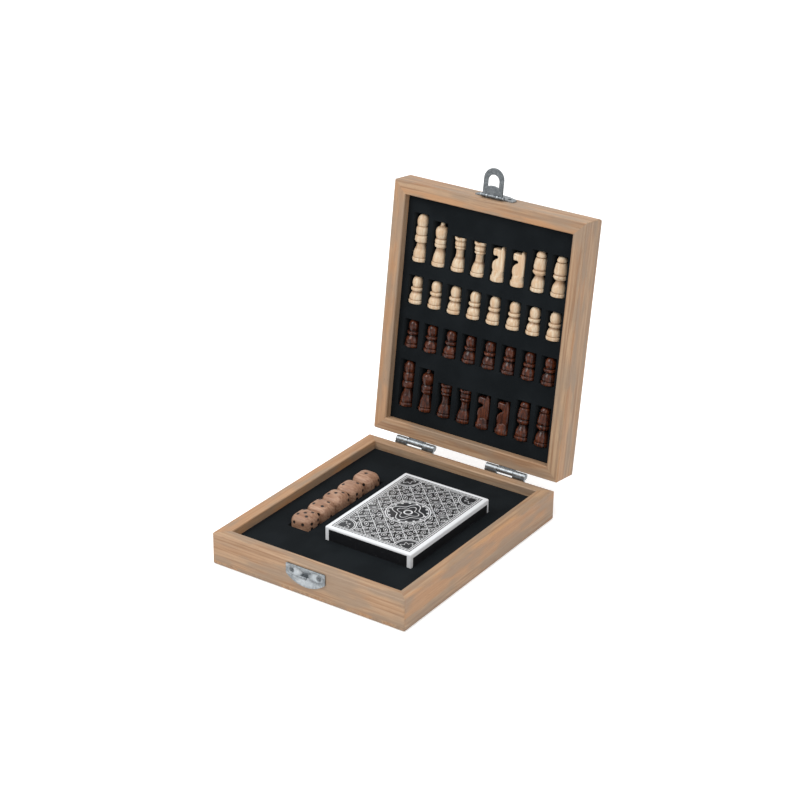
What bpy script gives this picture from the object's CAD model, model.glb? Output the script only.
import bpy
import bmesh
import math
from mathutils import Matrix, Vector


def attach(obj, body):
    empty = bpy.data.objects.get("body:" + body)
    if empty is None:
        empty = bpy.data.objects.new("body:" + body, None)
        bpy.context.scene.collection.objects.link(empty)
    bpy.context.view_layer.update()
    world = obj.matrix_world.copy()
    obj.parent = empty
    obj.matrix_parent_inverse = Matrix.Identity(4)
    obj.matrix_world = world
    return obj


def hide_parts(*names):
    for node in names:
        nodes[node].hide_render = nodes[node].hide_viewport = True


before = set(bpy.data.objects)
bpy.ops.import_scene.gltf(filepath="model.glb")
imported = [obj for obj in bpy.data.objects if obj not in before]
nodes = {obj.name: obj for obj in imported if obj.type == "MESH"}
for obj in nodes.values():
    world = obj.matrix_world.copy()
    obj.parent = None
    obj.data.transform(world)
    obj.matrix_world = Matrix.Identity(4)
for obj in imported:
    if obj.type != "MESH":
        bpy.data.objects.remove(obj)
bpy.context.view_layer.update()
scene = bpy.context.scene

mm = 0.001
case = {  # millimetres, the same sizes as the model
    "halfDepth": 89.0, "lidRim": 22.3, "lidTop": 43.3, "hinge": (0, 91.65, 22.7),
    "openAngle": 97.5,
}
toMetres = Matrix.Scale(mm, 4)
hingeAt = Matrix.Translation([c / 1000 for c in case["hinge"]])
lidTurn = hingeAt @ Matrix.Rotation(math.radians(-case["openAngle"]), 4, "X") @ hingeAt.inverted()
print("frame loaded:", len(nodes), "nodes")

# shader maths


class Wire:  # a shader socket that can be added, multiplied and compared like a number
    def __init__(self, look, socket):
        self.look = look
        self.socket = socket

    def math(self, operation, *others):
        values = dict(enumerate((self,) + others))
        return self.look.add("ShaderNodeMath", {"operation": operation}, values)

    def __add__(self, other):
        return self.math("ADD", other)

    def __sub__(self, other):
        return self.math("SUBTRACT", other)

    def __rsub__(self, other):
        return (self * -1).math("ADD", other)

    def __mul__(self, other):
        return self.math("MULTIPLY", other)

    def __truediv__(self, other):
        return self.math("DIVIDE", other)

    def __pow__(self, other):
        return self.math("POWER", other)

    def __gt__(self, other):
        return self.math("GREATER_THAN", other)

    def __lt__(self, other):
        return self.math("LESS_THAN", other)

    def __abs__(self):
        return self.math("ABSOLUTE")

    __radd__ = __add__
    __rmul__ = __mul__

    def soft(self, low, high):  # 0 below low, 1 above high, smooth between
        settings = {"interpolation_type": "SMOOTHSTEP"}
        values = {"Value": self, "From Min": low, "From Max": high}
        return self.look.add("ShaderNodeMapRange", settings, values)


class Look:  # one finish, for a material or the world
    def __init__(self, name, owner=None):
        self.owner = owner or bpy.data.materials.new(name)
        self.owner.use_nodes = True
        self.tree = self.owner.node_tree
        self.tree.nodes.clear()

    def add(self, kind, settings=None, values=None, out=0):
        node = self.tree.nodes.new(kind)
        for name, value in (settings or {}).items():
            setattr(node, name, value)
        for name, value in (values or {}).items():
            self.plug(node.inputs[name], value)
        return Wire(self, node.outputs[out]) if node.outputs else None

    def plug(self, socket, value):
        if isinstance(value, Wire):
            self.tree.links.new(value.socket, socket)
        elif isinstance(value, tuple) and socket.type == "RGBA":
            socket.default_value = (*value[:3], 1)
        else:
            socket.default_value = value

    def place(self, shut=False):  # in millimetres, as it lies open or as if the lid were shut
        point = self.add("ShaderNodeTexCoord", out=3)
        rotation, shift = (0, 0, 0), (0, 0, 0)
        if shut:
            turn = lidTurn.inverted()
            rotation = tuple(turn.to_euler())
            shift = tuple(turn.translation * 1000)
        values = {"Vector": point, "Location": shift, "Rotation": rotation,
                  "Scale": (1000, 1000, 1000)}
        return self.add("ShaderNodeMapping", {"vector_type": "POINT"}, values)

    def split(self, vector):
        first = self.add("ShaderNodeSeparateXYZ", values={0: vector})
        return [Wire(self, socket) for socket in first.socket.node.outputs]

    def join(self, x, y, z):
        return self.add("ShaderNodeCombineXYZ", values={"X": x, "Y": y, "Z": z})

    def noise(self, vector, scale=1.0, detail=2.0, roughness=0.5, distortion=0.0):
        values = {"Vector": vector, "Scale": scale, "Detail": detail, "Roughness": roughness,
                  "Distortion": distortion}
        return self.add("ShaderNodeTexNoise", values=values)

    def cells(self, vector):  # one random number for each whole-number cell
        return self.add("ShaderNodeTexWhiteNoise", values={"Vector": vector})

    def mix(self, factor, first, second):
        settings = {"data_type": "RGBA", "clamp_factor": True}
        return self.add("ShaderNodeMix", settings, {0: factor, 6: first, 7: second}, out=2)

    def attribute(self, name):
        return self.add("ShaderNodeAttribute", {"attribute_name": name}, out=2)

    def bump(self, height, distance, strength=1.0):
        values = {"Height": height, "Distance": distance, "Strength": strength}
        return self.add("ShaderNodeBump", values=values)

    def seen(self):  # 1 for what the camera sees, straight or in a mirror or glass
        first = self.add("ShaderNodeLightPath")
        kinds = first.socket.node.outputs
        rays = [Wire(self, kinds["Is " + kind + " Ray"])
                for kind in ("Camera", "Glossy", "Transmission")]
        return rays[0].math("MAXIMUM", rays[1]).math("MAXIMUM", rays[2])

    def finish(self, **values):
        named = {name.replace("_", " "): value for name, value in values.items()}
        surface = self.add("ShaderNodeBsdfPrincipled", values=named)
        self.add("ShaderNodeOutputMaterial", values={"Surface": surface})
        return self.owner


# finishes

woodGrain = {
    "pale": (0.440, 0.296, 0.185), "deep": (0.275, 0.155, 0.084), "amber": (0.45, 0.236, 0.112),
    "grey": (0.280, 0.208, 0.148), "pore": (0.130, 0.066, 0.034),
    "stripWidth": 6.4, "stripHeight": 7.3, "roughness": 0.5, "bump": 0.00006,
    "amberShare": 0.75, "greyShare": 0.7, "fineShare": 0.42, "poreShare": 0.6,
}


def woodLook(name, grainAxis, shut, seed, tone=1.0, board=False):
    look = Look(name)
    point = look.place(shut)
    x, y, z = look.split(point)
    along, across, up = {"x": (x, y, z), "y": (y, x, z), "z": (z, x, y)}[grainAxis]
    wander = look.noise(look.join(along * 0.02, across * 0.05, up * 0.05), 1.0, 1.0)
    across = across + wander * 3.0 + seed * 7.3
    up = up + wander * 2.0 + seed * 3.1
    strip = look.cells(look.join((across / woodGrain["stripWidth"]).math("FLOOR"),
                                 (up / woodGrain["stripHeight"]).math("FLOOR"), float(seed)))
    streaks = look.noise(look.join(along * 0.012, across * 0.55, up * 0.55), 1.0, 4.0, 0.6)
    fine = look.noise(look.join(along * 0.05, across * 3.2, up * 3.2), 1.0, 3.0, 0.6)
    pores = look.noise(look.join(along * 0.22, across * 6.5, up * 6.5), 1.0, 1.0).soft(0.66, 0.76)
    cloud = look.noise(look.join(along * 0.03, across * 0.12, up * 0.12), 1.0, 2.0)
    colour = look.mix(streaks.soft(0.34, 0.62), woodGrain["deep"], woodGrain["pale"])
    colour = look.mix(strip * strip * woodGrain["amberShare"], colour, woodGrain["amber"])
    colour = look.mix(cloud.soft(0.42, 0.62) * woodGrain["greyShare"], colour, woodGrain["grey"])
    colour = look.mix(fine.soft(0.48, 0.72) * woodGrain["fineShare"], colour, woodGrain["deep"])
    colour = look.mix(pores * woodGrain["poreShare"], colour, woodGrain["pore"])
    if tone != 1.0:
        colour = look.mix(1 - tone, colour, woodGrain["pore"])
    rough = woodGrain["roughness"] + fine * 0.18
    height = fine * 0.5 + streaks * 0.4 - pores * 0.7
    if board:
        colour, rough = chessBoard(look, x, y, z, colour, rough)
    normal = look.bump(height, woodGrain["bump"])
    return look.finish(Base_Color=colour, Roughness=rough, Normal=normal, Coat_Weight=0.08,
                       Coat_Roughness=0.35, Specular_IOR_Level=0.35)


boardPrint = {"square": 15.0, "line": 0.6, "margin": 1.6, "depth": 0.3, "strength": 0.96,
              "ink": (0.085, 0.036, 0.02)}


def chessBoard(look, x, y, z, colour, rough):
    # eight by eight squares stained into the outside of the lid, with one thin line round them
    side = boardPrint["square"]
    half = side * 4
    waves = (x * (math.pi / side)).math("SINE") * (y * (math.pi / side)).math("SINE")
    reach = abs(x).math("MAXIMUM", abs(y))
    inside = reach < half
    frameLine = abs(reach - (half + boardPrint["margin"])) < boardPrint["line"] / 2
    outer = z > case["lidTop"] - boardPrint["depth"]
    worn = look.noise(look.join(x, y, z), 0.5, 3.0).soft(0.2, 0.62) * 0.14
    marks = ((waves > 0) * inside).math("MAXIMUM", frameLine)
    ink = marks * outer * (boardPrint["strength"] - worn)
    return look.mix(ink, colour, boardPrint["ink"]), rough - ink * 0.08


foamSkin = {"colour": (0.0052, 0.0070, 0.0084), "cut": (0.0092, 0.0118, 0.0138),
            "fleck": (0.020, 0.023, 0.026), "inside": (0.020, 0.024, 0.027),
            "roughness": 0.95, "shine": 0.1, "face": {False: 16.0, True: 28.0}}


def foamLook(name, shut):
    look = Look(name)
    point = look.place(shut)
    cellsFine = look.noise(point, 3.4, 3.0, 0.7)
    patches = look.noise(point, 0.05, 2.0)
    specks = look.noise(point, 7.0, 1.0).soft(0.62, 0.72)
    colour = look.mix(patches.soft(0.35, 0.65) * 0.6, foamSkin["colour"], foamSkin["cut"])
    colour = look.mix(specks * 0.35, colour, foamSkin["fleck"])
    depth = abs(look.split(point)[2] - foamSkin["face"][shut])
    colour = look.mix(depth.soft(0.1, 0.6), colour, foamSkin["inside"])
    normal = look.bump(cellsFine - specks * 0.4, 0.00009, 0.8)
    return look.finish(Base_Color=colour, Roughness=foamSkin["roughness"], Normal=normal,
                       Specular_IOR_Level=foamSkin["shine"])


zinc = {"bright": (0.34, 0.365, 0.38), "dull": (0.19, 0.207, 0.22), "dark": (0.03, 0.034, 0.038),
        "polished": (0.48, 0.515, 0.54), "roughness": 0.33}


def steelLook(name, shut=False, pressed=None, tone=1.0):
    look = Look(name)
    point = look.place(shut)
    x, y, z = look.split(point)
    spangle = look.noise(point, 0.55, 3.0, 0.6, 0.6)
    scratch = look.noise(look.join(x * 0.25, y * 2, z * 4.5), 1.0, 3.0)
    grime = look.noise(point, 1.3, 3.0, 0.6).soft(0.52, 0.74)
    colour = look.mix(spangle.soft(0.35, 0.7), zinc["dull"], zinc["bright"])
    colour = look.mix(grime * 0.25, colour, zinc["dark"])
    colour = look.mix(1 - tone, colour, zinc["dark"])
    rough = zinc["roughness"] + spangle * 0.16 + grime * 0.12
    height = scratch * 0.25 + spangle * 0.3
    if pressed:
        dent, shine, shade = pressed(look, x, z)
        colour = look.mix(shine, colour, zinc["polished"])
        colour = look.mix(shade, colour, zinc["dark"])
        height = height + dent
    normal = look.bump(height, 0.00016, 0.35)
    return look.finish(Base_Color=colour, Roughness=rough, Metallic=1.0, Normal=normal)


turnedWood = {
    "light": {"pale": (0.68, 0.57, 0.42), "deep": (0.56, 0.37, 0.22), "line": (0.24, 0.125, 0.06),
              "roughness": 0.34, "coat": 0.15, "shine": 0.3},
    "dark": {"pale": (0.120, 0.030, 0.011), "deep": (0.018, 0.005, 0.004),
             "line": (0.003, 0.002, 0.002), "roughness": 0.13, "coat": 0.12, "shine": 0.18},
    "dice": {"pale": (0.45, 0.275, 0.185), "deep": (0.25, 0.130, 0.078),
             "line": (0.11, 0.05, 0.028), "pip": (0.012, 0.008, 0.006), "roughness": 0.42,
             "coat": 0.05, "shine": 0.3},
}


def turnedLook(name, kind, shut, grainAxis="y"):
    look = Look(name)
    finish = turnedWood[kind]
    point = look.place(shut)
    x, y, z = look.split(point)
    along, across, up = {"x": (x, y, z), "y": (y, x, z)}[grainAxis]
    grain = look.noise(look.join(along * 0.07, across * 0.8, up * 0.8), 1.0, 3.0, 0.6)
    fine = look.noise(look.join(along * 0.4, across * 4.5, up * 4.5), 1.0, 2.0)
    patch = look.noise(point, 0.11, 2.0)
    colour = look.mix(grain.soft(0.32, 0.68), finish["deep"], finish["pale"])
    colour = look.mix(patch.soft(0.4, 0.7) * 0.6, colour, finish["deep"])
    colour = look.mix(fine.soft(0.58, 0.75) * 0.4, colour, finish["line"])
    height = grain * 0.4 + fine * 0.5
    if kind == "dice":
        reach = look.attribute("pipDistance")
        burn = 1 - reach.soft(1.02, 1.22)
        halo = (1 - reach.soft(1.1, 1.9)) * 0.35
        colour = look.mix(halo, colour, finish["line"])
        colour = look.mix(burn, colour, finish["pip"])
    else:
        hollow = look.attribute("hollow")
        colour = look.mix(hollow * 0.85, colour, finish["line"])
    normal = look.bump(height, 0.00004)
    return look.finish(Base_Color=colour, Roughness=finish["roughness"] + fine * 0.12,
                       Normal=normal, Coat_Weight=finish["coat"], Coat_Roughness=0.1,
                       Specular_IOR_Level=finish["shine"])


catchForm = {  # millimetres across and up the front of the base
    "dimple": (8.0, 16.1), "dimpleHalf": (6.0, 3.0), "screw": (10.4, 16.3), "slit": 16.6,
    "skirt": 10.4, "skirtHalf": (9.0, 3.6),
}


def pressedCatch(look, x, z):
    # two long dimples that hold the screws, the slit behind the hook and the bright skirt below
    dent, shine, shade = 0.0, 0.0, 0.0
    dimpleX, dimpleZ = catchForm["dimple"]
    halfX, halfZ = catchForm["dimpleHalf"]
    screwX, screwZ = catchForm["screw"]
    for side in (-1, 1):
        across, rise = x - side * dimpleX, z - dimpleZ
        reach = ((across / halfX) ** 2.0 + (rise / halfZ) ** 2.0).math("SQRT")
        dent = dent - (1 - reach.soft(0.6, 1.0)) * 5.0
        shine = shine + (1 - reach.soft(0.3, 1.0)) * 0.55
        shade = shade + reach.soft(0.8, 1.05) * (1 - reach.soft(1.05, 1.4)) * 0.3
        spotX, spotZ = x - side * screwX, z - screwZ
        spot = (spotX * spotX + spotZ * spotZ).math("SQRT")
        shade = shade + (1 - spot.soft(1.7, 2.5)) * 0.45
    slit = (1 - abs(x).soft(1.2, 3.0)) * (1 - abs(z - catchForm["slit"]).soft(0.6, 1.8))
    skirtX, skirtZ = catchForm["skirtHalf"]
    below = ((x / skirtX) ** 2.0 + ((z - catchForm["skirt"]) / skirtZ) ** 2.0).math("SQRT")
    skirt = 1 - below.soft(0.4, 1.0)
    return dent, shine + skirt * 0.5, shade + slit * 0.3


looks = {
    "foamBase": foamLook("foamBase", False),
    "foamLid": foamLook("foamLid", True),
    "steel": steelLook("steel"),
    "steelLid": steelLook("steelLid", shut=True),
    "catch": steelLook("steelCatch", pressed=pressedCatch),
    "loop": steelLook("steelLoop", True, tone=0.5),
    "screw": steelLook("steelScrew", tone=0.45),
    "light": turnedLook("boxwood", "light", True),
    "dark": turnedLook("stainedWood", "dark", True),
    "dice": turnedLook("diceWood", "dice", False, "x"),
}
print("finishes made:", len(looks))

# wooden case, foam and plain steel: the model's own nodes

railGrain = {"front": "x", "back": "x", "left": "y", "right": "y"}


def dress(name, material):
    node = nodes[name]
    node.data.materials.clear()
    node.data.materials.append(material)


for half, shut in (("base", False), ("lid", True)):
    for seed, (side, axis) in enumerate(railGrain.items()):
        name = half + "_" + side + "_rail"
        dress(name, woodLook("wood_" + name, axis, shut, seed + 1 + 5 * shut))
    dress(half + "_panel", woodLook("wood_" + half + "_panel", "y", shut, 11 + shut, 0.9, shut))
    dress(half + "_foam", looks["foamLid" if shut else "foamBase"])
    dress(half + "_hinge_leaves", looks["steelLid" if shut else "steel"])
dress("hinge_pins", looks["steel"])
dress("hasp_pin", looks["steelLid"])
dress("hasp_plate", looks["steelLid"])
dress("catch_plate", looks["catch"])
print("case dressed")

# mesh helpers


def linked(name, data):
    item = bpy.data.objects.new(name, data)
    scene.collection.objects.link(item)
    return item


def meshFrom(bm, name):
    mesh = bpy.data.meshes.new(name)
    bm.to_mesh(mesh)
    bm.free()
    return mesh


def evaluatedMesh(item):
    return bpy.data.meshes.new_from_object(item.evaluated_get(
        bpy.context.evaluated_depsgraph_get()))


def newPiece(name, bm, material, place, smooth=True):
    bm.transform(place)
    bmesh.ops.recalc_face_normals(bm, faces=bm.faces)
    piece = linked(name, meshFrom(bm, name))
    piece.data.materials.append(material)
    if smooth:
        piece.data.shade_smooth()
    return piece


def settle(piece, body, slot, *replaced):
    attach(piece, body)
    if replaced:
        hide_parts(*replaced)
    return piece


def smoothLine(points, steps):
    # a curve through the points; a point given twice makes a crisp corner
    line = []
    ends = [points[0]] + points + [points[-1]]
    for i in range(1, len(ends) - 2):
        a, b, c, d = (Vector(p) for p in ends[i - 1:i + 3])
        if (c - b).length < 1e-6:
            continue
        for k in range(steps):
            t = k / steps
            line.append(0.5 * ((2 * b) + (c - a) * t + (2 * a - 5 * b + 4 * c - d) * t * t
                               + (3 * b - a - 3 * c + d) * t ** 3))
    line.append(Vector(points[-1]))
    return line


def circle(count):
    return [2 * math.pi * k / count for k in range(count)]


def ringAt(bm, radius, up, count):
    # a ring of vertices round Z, or a single one where the radius closes
    if radius < 1e-4:
        return [bm.verts.new((0, 0, up))]
    return [bm.verts.new((radius * math.cos(a), radius * math.sin(a), up)) for a in circle(count)]


def joinRings(bm, rings, count):
    for low, high in zip(rings, rings[1:]):
        for k in range(count):
            quad = [low[k % len(low)], low[(k + 1) % len(low)], high[(k + 1) % len(high)],
                    high[k % len(high)]]
            corners = list(dict.fromkeys(quad))
            if len(corners) > 2:
                bm.faces.new(corners)


def stampedMesh(name, outlines, thick, ease, edgeSteps):
    # a flat shape with eased edges; the first outline is its edge and any other is a hole
    curve = bpy.data.curves.new(name, "CURVE")
    curve.dimensions = "2D"
    curve.fill_mode = "BOTH"
    for outline in outlines:
        spline = curve.splines.new("POLY")
        spline.points.add(len(outline) - 1)
        for point, (across, up) in zip(spline.points, outline):
            point.co = (across, up, 0, 1)
        spline.use_cyclic_u = True
    curve.extrude = thick / 2 - ease
    curve.bevel_depth = ease
    curve.bevel_resolution = edgeSteps
    curve.offset = -ease
    holder = linked(name, curve)
    mesh = evaluatedMesh(holder)
    bpy.data.objects.remove(holder)
    return mesh


# chess pieces

chessSet = {
    "pitch": 15.5, "shift": 0.5, "axisHeight": 31.2, "rounds": 40, "steps": 4,
    "spin": 37, "nearRings": 3, "grooveGain": 4.5,
    "rows": (("light", False, -34.5), ("light", True, -4.8), ("dark", True, 26.4),
             ("dark", False, 69.4)),
    "backRow": ("king", "queen", "rook", "rook", "knight", "knight", "bishop", "bishop"),
}
footRim = [(0, 0), (0, 5.1), (0, 5.1), (0.7, 5.45)]
turnings = {  # (up the piece, radius) in millimetres; a point given twice is a crisp edge
    "pawn": footRim + [
        (2.1, 5.45), (2.6, 4.7), (2.6, 4.7), (3.1, 4.95), (4.4, 5.05), (6.0, 4.55), (7.8, 3.55),
        (8.3, 3.1), (8.3, 3.1), (9.0, 4.1), (9.8, 4.45), (10.7, 4.35), (11.4, 3.2), (11.4, 3.2),
        (11.9, 3.35), (13.2, 3.7), (15.0, 3.8), (16.8, 3.35), (18.3, 2.3), (19.1, 0.9),
        (19.2, 0)
    ],
    "rook": footRim + [
        (2.2, 5.45), (2.7, 4.7), (2.7, 4.7), (3.2, 5.0), (5.2, 4.75), (7.4, 4.05), (9.4, 3.2),
        (10.8, 2.9), (12.6, 2.75), (14.4, 2.8), (14.8, 2.9), (14.8, 2.9), (15.6, 3.7),
        (16.4, 3.9), (17.1, 3.5), (17.1, 3.5), (17.8, 3.9), (19.0, 4.1), (20.4, 3.75),
        (20.9, 3.75), (20.9, 3.75), (21.7, 4.4), (22.6, 4.5), (23.4, 4.45), (23.4, 4.45),
        (23.4, 2.9), (23.4, 2.9), (22.2, 2.7), (22.2, 0)
    ],
    "bishop": footRim + [
        (2.2, 5.45), (2.7, 4.7), (2.7, 4.7), (3.2, 5.0), (5.0, 5.0), (6.8, 4.6), (8.6, 3.7),
        (9.9, 3.05), (10.7, 2.95), (10.7, 2.95), (11.4, 3.8), (12.4, 4.7), (13.6, 4.95),
        (14.6, 4.25), (14.6, 4.25), (16.4, 4.75), (18.6, 4.45), (20.8, 4.1), (22.4, 3.6),
        (22.9, 2.8), (22.9, 2.8), (23.7, 3.45), (25.0, 3.3), (26.4, 2.35), (27.2, 1.0),
        (27.4, 0)
    ],
    "queen": footRim + [
        (2.4, 5.45), (2.9, 4.7), (2.9, 4.7), (3.4, 5.0), (5.6, 4.75), (8.4, 4.1), (10.8, 3.3),
        (12.0, 2.95), (12.4, 3.1), (12.4, 3.1), (13.2, 4.1), (14.4, 4.45), (15.6, 4.2),
        (15.6, 4.2), (16.4, 4.4), (17.8, 4.35), (19.0, 3.6), (19.0, 3.6), (20.0, 3.9),
        (22.0, 4.35), (23.8, 4.5), (25.2, 4.2), (26.4, 3.5), (27.3, 2.3), (28.2, 1.6),
        (29.4, 1.35), (30.2, 0.8), (30.4, 0)
    ],
    "king": footRim + [
        (2.4, 5.45), (2.9, 4.7), (2.9, 4.7), (3.4, 5.05), (5.4, 5.05), (7.4, 4.65), (9.2, 3.9),
        (10.8, 3.4), (11.9, 3.15), (12.6, 3.1), (12.6, 3.1), (13.3, 4.1), (14.2, 4.8),
        (15.4, 4.9), (16.8, 4.85), (17.8, 4.4), (18.3, 3.95), (18.3, 3.95), (19.2, 4.3),
        (21.0, 4.55), (22.8, 4.45), (24.0, 3.9), (24.4, 3.6), (24.4, 3.6), (25.4, 3.95),
        (27.4, 4.2), (29.2, 4.0), (31.0, 3.2), (32.4, 1.9), (33.0, 0.7), (33.05, 0)
    ],
    "knight": footRim + [
        (2.8, 5.45), (3.5, 5.0), (3.5, 5.0), (4.2, 4.75), (6.4, 4.45), (7.4, 3.9), (8.2, 2.4),
        (8.4, 0)
    ],
}
horseHead = {
    "outline": [
        (-3.4, 6.0), (-4.35, 8.2), (-4.55, 10.4), (-4.1, 12.6), (-2.6, 14.3), (-0.9, 15.4),
        (-0.55, 16.4), (-1.6, 17.1), (-3.3, 16.9), (-4.25, 17.6), (-4.5, 19.4), (-4.1, 21.7),
        (-1.6, 22.0), (0.9, 21.7), (1.9, 22.5), (2.75, 24.2), (3.6, 22.8), (4.45, 20.4),
        (4.75, 16.4), (4.7, 12.0), (3.9, 6.0)
    ],
    "thickness": 5.9, "round": 1.3, "smoothing": 3, "edgeSteps": 3,
}


battlements = {"floor": 23.2, "bore": 1.9, "halfNotch": 13, "depth": 1.1}


def turnedMesh(profile):
    # each vertex keeps how far it lies in a groove, which the finish darkens
    line = smoothLine(profile, chessSet["steps"])
    last, near = len(line) - 1, chessSet["nearRings"]
    bm = bmesh.new()
    layer = bm.verts.layers.float.new("hollow")
    rings = []
    for i, (up, radius) in enumerate(line):
        around = (line[max(i - near, 0)][1] + line[min(i + near, last)][1]) / 2
        hollow = (around - radius) * chessSet["grooveGain"]
        ring = ringAt(bm, radius, up, chessSet["rounds"])
        for vert in ring:
            vert[layer] = max(0.0, min(1.0, hollow)) if 0 < i < last else 0.0
        rings.append(ring)
    joinRings(bm, rings, chessSet["rounds"])
    return bm


def addHorseHead(bm):
    # the flat carved head, with its edges eased
    outline = horseHead["outline"] + horseHead["outline"][:1]
    line = smoothLine(outline, horseHead["smoothing"])[:-1]
    mesh = stampedMesh("horseOutline", (line,), horseHead["thickness"], horseHead["round"],
                       horseHead["edgeSteps"])
    mesh.transform(Matrix.Rotation(math.radians(90), 4, "X"))
    bm.from_mesh(mesh)


def cutBattlements(bm):
    # four notches in the rim round the rook's bore
    for vert in bm.verts:
        x, y, z = vert.co
        if z > battlements["floor"] and math.hypot(x, y) > battlements["bore"]:
            turn = math.degrees(math.atan2(y, x)) % 90
            if turn < battlements["halfNotch"] or turn > 90 - battlements["halfNotch"]:
                vert.co.z -= battlements["depth"]


def lyingAt(column, footY):
    # local Z, up the piece, lies along the lid towards its latch; local -Y faces out of the foam
    across = chessSet["shift"] + (column - 3.5) * chessSet["pitch"]
    lying = Matrix(((1, 0, 0, across), (0, 0, -1, footY), (0, 1, 0, chessSet["axisHeight"]),
                    (0, 0, 0, 1)))
    return lidTurn @ toMetres @ lying


for colour, pawns, footY in chessSet["rows"]:
    row = ("pawn",) * 8 if pawns else chessSet["backRow"]
    for column, kind in enumerate(row):
        number = "_" + str(row[:column].count(kind) + 1) if row.count(kind) > 1 else ""
        node = colour + "_" + kind + number
        bm = turnedMesh(turnings[kind])
        if kind == "knight":
            addHorseHead(bm)
        if kind == "rook":
            cutBattlements(bm)
        turn = 0 if kind in ("knight", "rook") else column * chessSet["spin"]
        spin = Matrix.Rotation(math.radians(turn), 4, "Z")
        piece = newPiece(node + "_turned", bm, looks[colour], lyingAt(column, footY) @ spin)
        body = colour + "_pawns" if pawns else node
        settle(piece, body, colour + "_wood", node)
print("chess pieces turned")

# dice

dice = {
    "size": 16.0, "round": 5.5, "cuts": 36, "pipStep": 3.5, "pipRadius": 1.12, "dent": 0.35,
    "x": -39.35, "y": (-36.0, -18.6, -2.1, 14.5, 32.6), "z": 16.0,
    # what shows on top, towards the latch and to the right
    "shown": ((5, 4, 6), (4, 5, 1), (3, 1, 2), (2, 3, 6), (1, 2, 3)),
}
pipSpots = {
    1: [(0, 0)], 2: [(-1, -1), (1, 1)], 3: [(-1, -1), (0, 0), (1, 1)],
    4: [(-1, -1), (-1, 1), (1, -1), (1, 1)], 5: [(-1, -1), (-1, 1), (0, 0), (1, -1), (1, 1)],
    6: [(-1, -1), (-1, 0), (-1, 1), (1, -1), (1, 0), (1, 1)],
}


def dieMesh(top, front, right):
    half, count = dice["size"] / 2, dice["cuts"]
    inner = half - dice["round"]
    faces = {  # outward, sideways and up for each face, and its number
        (0, 0, 1): ((1, 0, 0), (0, 1, 0), top), (0, 0, -1): ((1, 0, 0), (0, -1, 0), 7 - top),
        (0, -1, 0): ((1, 0, 0), (0, 0, 1), front), (0, 1, 0): ((-1, 0, 0), (0, 0, 1), 7 - front),
        (1, 0, 0): ((0, 1, 0), (0, 0, 1), right), (-1, 0, 0): ((0, -1, 0), (0, 0, 1), 7 - right),
    }
    bm = bmesh.new()
    layer = bm.verts.layers.float.new("pipDistance")
    for outward, (sideways, upward, number) in faces.items():
        outward, sideways, upward = Vector(outward), Vector(sideways), Vector(upward)
        grid = []
        for i in range(count + 1):
            for j in range(count + 1):
                u, v = (2 * i / count - 1) * half, (2 * j / count - 1) * half
                point = outward * half + sideways * u + upward * v
                core = Vector([max(-inner, min(inner, c)) for c in point])
                point = core + (point - core).normalized() * dice["round"]
                reach = min(math.hypot(u - a * dice["pipStep"], v - b * dice["pipStep"])
                            for a, b in pipSpots[number])
                dip = max(0.0, 1 - (reach / dice["pipRadius"]) ** 2) ** 0.5
                vert = bm.verts.new(point - outward * dice["dent"] * dip)
                vert[layer] = reach
                grid.append(vert)
        for i in range(count):
            for j in range(count):
                a = i * (count + 1) + j
                bm.faces.new((grid[a], grid[a + count + 1], grid[a + count + 2], grid[a + 1]))
    bmesh.ops.remove_doubles(bm, verts=bm.verts, dist=0.0005)
    return bm


for number, (numbers, y) in enumerate(zip(dice["shown"], dice["y"]), start=1):
    place = toMetres @ Matrix.Translation((dice["x"], y, dice["z"]))
    name = "die_" + str(number)
    piece = newPiece(name + "_rounded", dieMesh(*numbers), looks["dice"], place)
    settle(piece, name, "dice_wood", name)
print("dice made")

# card carton

carton = {
    "x": 16.05, "y": 0.6, "width": 66.0, "length": 92.0, "floor": 8.0, "top": 25.4,
    "edge": 0.9, "border": 3.0, "legFront": 3.0, "legSide": 2.4, "sideBand": 3.2, "frontBand": 1.5,
    "white": (0.74, 0.755, 0.775), "ink": (0.010, 0.0105, 0.012), "ground": (0.028, 0.030, 0.033),
    "print": (0.68, 0.69, 0.70), "scuff": (0.45, 0.45, 0.45),
    "rose": 15.0, "fan": 9.8, "fanInset": 7.6, "sheet": 0.3,
}


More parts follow.
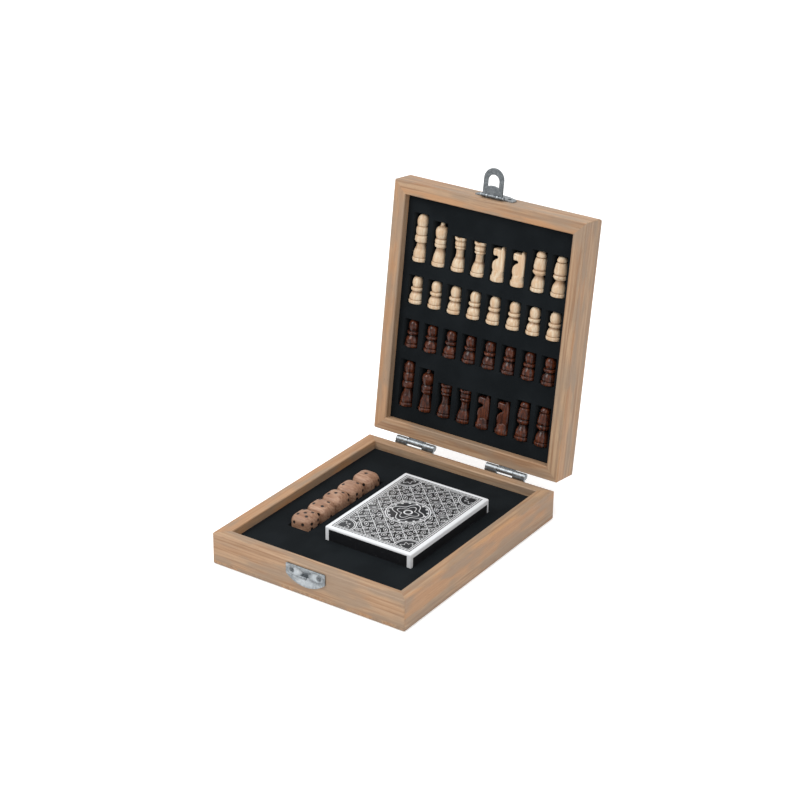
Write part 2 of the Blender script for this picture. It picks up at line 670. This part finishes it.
def cartonLook():
    look = Look("printedCarton")
    point = look.place()
    x, y, z = look.split(point)
    u, v = x - carton["x"], y - carton["y"]
    absU, absV = abs(u), abs(v)
    halfW, halfL, top = carton["width"] / 2, carton["length"] / 2, carton["top"]

    def line(value, width):  # a thin line where the value crosses zero
        return 1 - abs(value).soft(width * 0.5, width * 0.5 + 0.14)

    # the back's print: waves in a diamond lattice, a ringed four-petal rose, a fan in each corner
    field = (halfW - carton["border"] - absU).math("MINIMUM", halfL - carton["border"] - absV)
    reach = (u * u + v * v).math("SQRT")
    angle = v.math("ARCTAN2", u)
    swayU = u + (v * 0.42).math("SINE") * 1.5
    swayV = v + (u * 0.42).math("SINE") * 1.5
    weave = (swayU * 0.64).math("SINE") * (swayV * 0.64).math("SINE")
    vine = line(abs(weave) - 0.5, 0.05)
    dots = abs(weave) > 0.94
    lattice = line(((u + v) * 0.275).math("SINE") * 2, 0.16)
    lattice = lattice.math("MAXIMUM", line(((u - v) * 0.275).math("SINE") * 2, 0.16))
    filling = vine.math("MAXIMUM", dots).math("MAXIMUM", lattice)
    petals = (angle * 4).math("COSINE")
    rose = line(reach - 9.5 - petals * 2.2, 0.55)
    rose = rose.math("MAXIMUM", line(reach - 6.2 - petals * 1.8, 0.45))
    rose = rose.math("MAXIMUM", line(reach - 2.6, 0.9))
    rose = rose.math("MAXIMUM", line(reach - 14.6, 0.6)).math("MAXIMUM", line(reach - 13.4, 0.3))
    spokes = ((angle * 16).math("SINE") > 0.55) * (reach > 11.9) * (reach < 13.2)
    rose = rose.math("MAXIMUM", spokes * 0.9)
    inRose = reach < carton["rose"]
    cornerU, cornerV = (half - carton["fanInset"] - away
                        for half, away in ((halfW, absU), (halfL, absV)))
    cornerReach = (cornerU * cornerU + cornerV * cornerV).math("SQRT")
    cornerTurn = cornerV.math("ARCTAN2", cornerU)
    fan = line(cornerReach - 9.5, 0.5).math("MAXIMUM", line(cornerReach - 8.3, 0.3))
    fan = fan.math("MAXIMUM", line(cornerReach - 4.6 - (cornerTurn * 8).math("COSINE"), 0.4))
    span = carton["fan"]
    inFan = (cornerReach < span) * (cornerU < span) * (cornerV < span)
    ornament = filling * (1 - inRose) * (1 - inFan) + rose * inRose + fan * inFan
    frames = line(field - 1.1, 0.5).math("MAXIMUM", line(field - 2.3, 0.3))
    frames = frames.math("MAXIMUM", ((absU + absV) * 2.4).math("SINE") * (field > 0.2)
                         * (field < 0.9) * 0.6)
    inner = field > 2.6
    marks = (ornament * inner).math("MAXIMUM", frames) * (field > 0)
    ground = look.mix(inRose * 0.8 + inFan * 0.6, carton["ink"], carton["ground"])
    back = look.mix(marks, ground, carton["print"])
    back = look.mix(field > 0, carton["white"], back)

    # the sides: black panels between white corners, under a white top edge
    onEnd = absV > halfL - 0.25
    onSide = 1 - onEnd
    band = (top - carton["frontBand"]) * onEnd + (top - carton["sideBand"]) * onSide
    leg = ((absU > halfW - carton["legFront"]) * onEnd
           + (absV > halfL - carton["legSide"]) * onSide)
    panel = (z < band) * (1 - leg)
    scuff = look.noise(point, 0.8, 4.0, 0.7).soft(0.60, 0.75)
    side = look.mix(panel, carton["white"], carton["ink"])
    onTop = z > top - 0.2
    colour = look.mix(onTop, side, back)
    colour = look.mix(scuff * 0.10, colour, carton["scuff"])
    wave = look.noise(point, 0.09, 1.0)
    rough = 0.34 + scuff * 0.2
    normal = look.bump(marks * 0.15 * onTop + wave * 2.0 + scuff * 0.1, 0.0001, 0.5)
    return look.finish(Base_Color=colour, Roughness=rough, Normal=normal, Coat_Weight=0.05,
                       Coat_Roughness=0.25, Specular_IOR_Level=0.25)


def cartonMesh():
    # the outside of the closed carton: a box with all its edges eased
    bm = bmesh.new()
    bmesh.ops.create_cube(bm, size=1.0)
    height = carton["top"] - carton["floor"]
    bm.transform(Matrix.Translation((carton["x"], carton["y"], carton["floor"] + height / 2))
                 @ Matrix.Diagonal((carton["width"], carton["length"], height, 1)))
    bmesh.ops.bevel(bm, geom=list(bm.edges), offset=carton["edge"], segments=4, profile=0.5,
                    affect="EDGES", clamp_overlap=True)
    return bm


piece = newPiece("carton_printed", cartonMesh(), cartonLook(), toMetres)
settle(piece, "card_deck", "carton", "tuck_box")


def cardsLook():
    look = Look("cardEdges")
    x, y, z = look.split(look.place())
    sheets = (z * (2 * math.pi / carton["sheet"])).math("SINE").soft(-1, 1)
    drift = look.noise(look.join(x * 0.2, y * 0.2, z * 2), 1.0, 2.0)
    colour = look.mix(sheets * 0.25 + drift * 0.2, (0.82, 0.82, 0.80), (0.45, 0.44, 0.43))
    return look.finish(Base_Color=colour, Roughness=0.5, Normal=look.bump(sheets, 0.00003))


dress("playing_cards", cardsLook())
print("carton made")

# screws

screws = {
    "head": 1.7, "core": 0.75, "countersink": 0.8, "length": 6.0, "tip": 1.6, "rounds": 32,
    "rim": (0.12, 0.1), "cross": 0.36, "deep": 0.45,
    "proud": 0.8, "hinges": (-38.55, 34.45), "onLeaf": (10.0, 6.45), "onHasp": (9.6, 33.4),
}


def screwMesh():
    # countersunk head with a cross recess, its top face at the origin and its axis along -Z
    rimIn, rimDown = screws["rim"]
    line = [(0, 0), (screws["head"] - rimIn, 0), (screws["head"], -rimDown),
            (screws["core"], -screws["countersink"]),
            (screws["core"], screws["tip"] - screws["length"]), (0, -screws["length"])]
    bm = bmesh.new()
    joinRings(bm, [ringAt(bm, radius, z, screws["rounds"]) for radius, z in line],
              screws["rounds"])
    bmesh.ops.recalc_face_normals(bm, faces=bm.faces)
    blank = linked("screwBlank", meshFrom(bm, "screwBlank"))
    cutters = []
    for across in (0, 90):
        cut = bmesh.new()
        bmesh.ops.create_cube(cut, size=1.0)
        cut.transform(Matrix.Rotation(math.radians(across), 4, "Z")
                      @ Matrix.Diagonal((2.0, screws["cross"], 2 * screws["deep"], 1)))
        cutter = linked("screwCut", meshFrom(cut, "screwCut"))
        modifier = blank.modifiers.new("recess", "BOOLEAN")
        modifier.operation = "DIFFERENCE"
        modifier.object = cutter
        modifier.solver = "EXACT"
        cutters.append(cutter)
    bpy.context.view_layer.update()
    mesh = evaluatedMesh(blank)
    for extra in cutters + [blank]:
        bpy.data.objects.remove(extra)
    return mesh


def screwTree(material):
    # puts one screw on each point, turned to the point's facing direction
    tree = bpy.data.node_groups.new("screwsOnPoints", "GeometryNodeTree")
    tree.interface.new_socket("Points", in_out="INPUT", socket_type="NodeSocketGeometry")
    tree.interface.new_socket("Screw", in_out="INPUT", socket_type="NodeSocketObject")
    tree.interface.new_socket("Size", in_out="INPUT", socket_type="NodeSocketFloat")
    tree.interface.new_socket("Screws", in_out="OUTPUT", socket_type="NodeSocketGeometry")
    made = {}
    for key, kind in (("in", "NodeGroupInput"), ("out", "NodeGroupOutput"),
                      ("info", "GeometryNodeObjectInfo"),
                      ("facing", "GeometryNodeInputNamedAttribute"),
                      ("align", "FunctionNodeAlignRotationToVector"),
                      ("turn", "FunctionNodeRandomValue"), ("rotate", "FunctionNodeRotateRotation"),
                      ("spin", "FunctionNodeAxisAngleToRotation"),
                      ("put", "GeometryNodeInstanceOnPoints"),
                      ("real", "GeometryNodeRealizeInstances"),
                      ("paint", "GeometryNodeSetMaterial")):
        made[key] = tree.nodes.new(kind)
    made["facing"].data_type = "FLOAT_VECTOR"
    made["facing"].inputs["Name"].default_value = "facing"
    made["align"].axis = "Z"
    made["turn"].data_type = "FLOAT"
    made["turn"].inputs[3].default_value = math.pi
    made["turn"].inputs["Seed"].default_value = 3
    made["rotate"].rotation_space = "LOCAL"
    made["paint"].inputs["Material"].default_value = material
    for source, out, target, into in (
            ("in", "Points", "put", "Points"), ("in", "Screw", "info", "Object"),
            ("in", "Size", "put", "Scale"), ("info", "Geometry", "put", "Instance"),
            ("facing", "Attribute", "align", "Vector"), ("turn", 1, "spin", "Angle"),
            ("align", "Rotation", "rotate", "Rotation"),
            ("spin", "Rotation", "rotate", "Rotate By"),
            ("rotate", "Rotation", "put", "Rotation"), ("put", "Instances", "real", "Geometry"),
            ("real", "Geometry", "paint", "Geometry"), ("paint", "Geometry", "out", "Screws")):
        tree.links.new(made[source].outputs[out], made[target].inputs[into])
    return tree


def placeScrews(name, spots, material, turn, body, replaced):
    mesh = bpy.data.meshes.new(name)
    mesh.from_pydata([Vector(spot) * mm for spot, _ in spots], [], [])
    facing = mesh.attributes.new("facing", "FLOAT_VECTOR", "POINT")
    for item, (_, direction) in zip(facing.data, spots):
        item.vector = direction
    holder = linked(name + "Points", mesh)
    tree = screwTree(material)
    modifier = holder.modifiers.new("screws", "NODES")
    modifier.node_group = tree
    sockets = {item.name: item.identifier for item in tree.interface.items_tree
               if item.in_out == "INPUT"}
    modifier[sockets["Screw"]] = screwModel
    modifier[sockets["Size"]] = mm
    bpy.context.view_layer.update()
    baked = evaluatedMesh(holder)
    bpy.data.objects.remove(holder)
    baked.transform(turn)
    settle(linked(name, baked), body, "steel", replaced)


screwModel = linked("screwModel", screwMesh())
alongHinge, offPin = screws["onLeaf"]
catchX, catchZ = catchForm["screw"]
haspX, haspZ = screws["onHasp"]
hingeX = [c + s for c in screws["hinges"] for s in (-alongHinge, alongHinge)]
hingeZ = case["hinge"][2]
backY = case["halfDepth"] + screws["proud"]
baseSpots = [((s * catchX, -backY, catchZ), (0, -1, 0)) for s in (-1, 1)]
baseSpots += [((x, backY, hingeZ - offPin), (0, 1, 0)) for x in hingeX]
lidSpots = [((s * haspX, -backY, haspZ), (0, -1, 0)) for s in (-1, 1)]
lidSpots += [((x, backY, hingeZ + offPin), (0, 1, 0)) for x in hingeX]
placeScrews("baseScrews", baseSpots, looks["screw"], Matrix.Identity(4), "base", "base_screws")
placeScrews("lidScrews", lidSpots, looks["screw"], lidTurn, "lid", "lid_screws")
bpy.data.objects.remove(screwModel)
print("screws set")

# hasp loop

hasp = {
    "width": 15.2, "reach": 19.0, "strap": 3.3, "tipStrap": 4.4, "web": 6.2, "thick": 1.2,
    "ease": 0.28, "edgeSteps": 2, "foot": 1.3,
    "knuckles": ((-7.6, -5.1), (-2.9, 2.9), (5.1, 7.6)),
    "barrel": 1.5, "bore": 0.85, "barrelEase": 0.15, "rounds": 32,
    "axisY": -case["halfDepth"] - 1.8, "axisZ": case["lidRim"] + 4.8,
}


def haspMesh():
    # a stamped stadium with an eye, its edges eased, and its knuckles curled round the pin
    half, tip = hasp["width"] / 2, hasp["reach"]
    eye, eyeTip, web = half - hasp["strap"], tip - hasp["tipStrap"], hasp["web"]
    arc = [math.pi * k / 24 for k in range(25)]
    outer = [(half * math.cos(a), tip - half + half * math.sin(a)) for a in arc]
    outer += [(-half, hasp["foot"]), (half, hasp["foot"])]
    inner = [(eye * math.cos(a), eyeTip - eye + eye * math.sin(a)) for a in arc]
    inner += [(-eye, web + 0.2), (-eye * 0.5, web + 0.75), (0, web + 1.0),
              (eye * 0.5, web + 0.75), (eye, web + 0.2)]
    bm = bmesh.new()
    bm.from_mesh(stampedMesh("loopOutline", (outer, inner), hasp["thick"], hasp["ease"],
                             hasp["edgeSteps"]))
    count, barrel, ease = hasp["rounds"], hasp["barrel"], hasp["barrelEase"]
    for low, high in hasp["knuckles"]:
        rings = []
        for x, radius in ((low, hasp["bore"]), (low, barrel - ease), (low + ease, barrel),
                          (high - ease, barrel), (high, barrel - ease), (high, hasp["bore"])):
            rings.append([bm.verts.new((x, radius * math.cos(a), radius * math.sin(a)))
                          for a in circle(count)])
        for one, two in zip(rings, rings[1:] + rings[:1]):
            for k in range(count):
                bm.faces.new((one[k], one[(k + 1) % count], two[(k + 1) % count], two[k]))
        # the neck between barrel and plate, a little inside both
        for vert in bmesh.ops.create_cube(bm, size=1.0)["verts"]:
            vert.co = Vector(((low + high) / 2 + vert.co.x * (high - low - 0.1),
                              1.45 + vert.co.y * 0.9, vert.co.z * hasp["thick"] * 0.98))
    return bm


# local Y runs from the pin to the tip, which is closed -Y
loopPlace = Matrix(((1, 0, 0, 0), (0, -1, 0, hasp["axisY"]), (0, 0, -1, hasp["axisZ"]),
                    (0, 0, 0, 1)))
piece = newPiece("loop_stamped", haspMesh(), looks["loop"],
                 lidTurn @ toMetres @ loopPlace, smooth=False)
settle(piece, "hasp_loop", "steel", "hasp_loop")
print("hasp made")

# floor, light and camera

stage = {"floor": 4.0, "drop": -0.0004, "tone": 0.90, "glow": 0.42, "sky": 0.62}


def whiteLook(name, tone, glow):
    # a pale surface that shows white to the camera and keeps the shadow that falls on it
    look = Look(name)
    return look.finish(Base_Color=(tone, tone, tone), Roughness=0.9,
                       Emission_Color=look.mix(look.seen(), (0.0, 0.0, 0.0), (1.0, 1.0, 1.0)),
                       Emission_Strength=glow)


bm = bmesh.new()
bmesh.ops.create_grid(bm, x_segments=1, y_segments=1, size=stage["floor"])
floor = newPiece("studioFloor", bm, whiteLook("floorWhite", stage["tone"], stage["glow"]),
                 Matrix.Translation((0, 0, stage["drop"])), smooth=False)

world = bpy.data.worlds.new("studio")
scene.world = world
sky = Look("studio", world)
white = (1.0, 1.0, 1.0)
lit = sky.add("ShaderNodeBackground", values={"Color": white, "Strength": stage["sky"]})
shown = sky.add("ShaderNodeBackground", values={"Color": white, "Strength": 1.0})
blend = sky.add("ShaderNodeMixShader", values={0: sky.seen(), 1: lit, 2: shown})
sky.add("ShaderNodeOutputWorld", values={"Surface": blend})

lamps = (  # name, place, aim, size, watts
    ("key", (-0.55, -0.75, 1.05), (0, 0, 0.06), 0.8, 9.5),
    ("fill", (1.0, -0.55, 0.75), (0, 0, 0.08), 0.9, 3.2),
    ("top", (0.1, 0.2, 1.3), (0, 0, 0.05), 0.9, 5.0),
)
for name, place, aim, size, watts in lamps:
    data = bpy.data.lights.new(name, "AREA")
    data.shape = "DISK"
    data.size = size
    data.energy = watts
    lamp = linked(name, data)
    lamp.location = place
    lamp.rotation_euler = (Vector(aim) - Vector(place)).to_track_quat("-Z", "Y").to_euler()

photoCamera = {
    "place": (0.699025, -1.031182, 0.688053),
    "right": (0.8281589, 0.56038335, 0.01110569),
    "up": (-0.24706389, 0.34719313, 0.90466367),
    "ahead": (-0.50310264, 0.75194909, -0.42598157),
    "lens": 97.642,
}
data = bpy.data.cameras.new("photoCamera")
data.lens = photoCamera["lens"]
data.sensor_width = 36.0
data.clip_start, data.clip_end = 0.05, 20.0
camera = linked("photoCamera", data)
right, up, ahead = (Vector(photoCamera[k]).normalized() for k in ("right", "up", "ahead"))
axes = Matrix((right, up, -ahead)).transposed()
camera.matrix_world = Matrix.Translation(photoCamera["place"]) @ axes.to_4x4()
scene.camera = camera
scene.view_settings.view_transform = "Standard"
print("stage, light and camera set")
